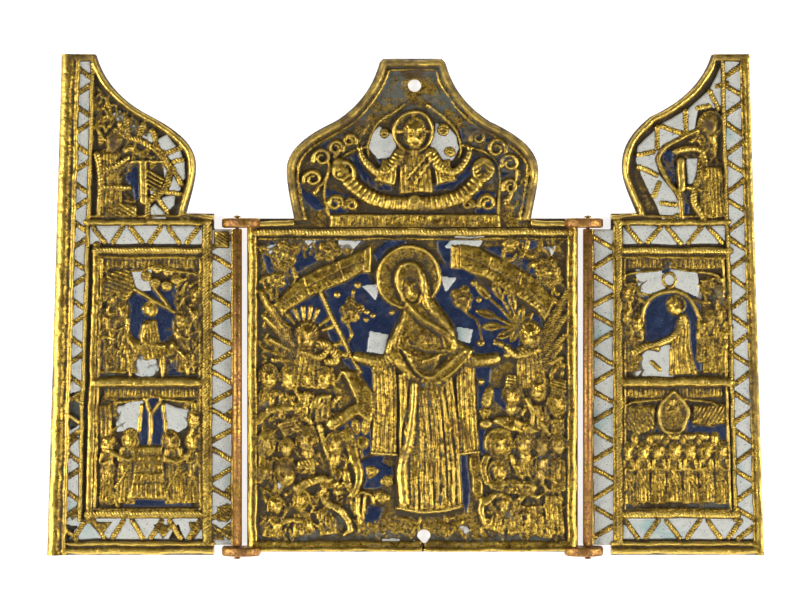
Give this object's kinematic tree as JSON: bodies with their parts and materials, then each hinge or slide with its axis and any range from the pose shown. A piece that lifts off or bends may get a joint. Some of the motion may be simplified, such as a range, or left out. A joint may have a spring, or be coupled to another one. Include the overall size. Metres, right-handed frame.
{
  "type": "folding travelling icon triptych",
  "caption": "Small folding triptych of cast brass relief with white and blue enamel, whose two wings close over the centre panel on pin hinges.",
  "frame": {"origin": "middle of the centre panel's flat back face", "axes": "+X across the open wings to the right, +Y towards the pointed crest, +Z out of the relief"},
  "size_m": [0.2009, 0.1414, 0.007],
  "materials": {
    "gilt_brass": "worn gilding with white and dark blue enamel in its cells",
    "pin_wire": "dull drawn wire"
  },
  "bodies": {
    "centre": {"centre_panel": "gilt_brass", "hinge_pin_upper_left": "pin_wire", "hinge_pin_lower_left": "pin_wire", "hinge_pin_upper_right": "pin_wire", "hinge_pin_lower_right": "pin_wire"},
    "wing_left": {"left_wing": "gilt_brass"},
    "wing_right": {"right_wing": "gilt_brass"}
  },
  "joints": [
    {"name": "left_hinge", "type": "hinge", "parent": "centre", "child": "wing_left", "pos_m": [-0.049, 0, 0.0049], "axis": [0, 1, 0], "range_deg": [0, 174]},
    {"name": "right_hinge", "type": "hinge", "parent": "centre", "child": "wing_right", "pos_m": [0.049, 0, 0.0049], "axis": [0, -1, 0], "range_deg": [0, 180]}
  ]
}
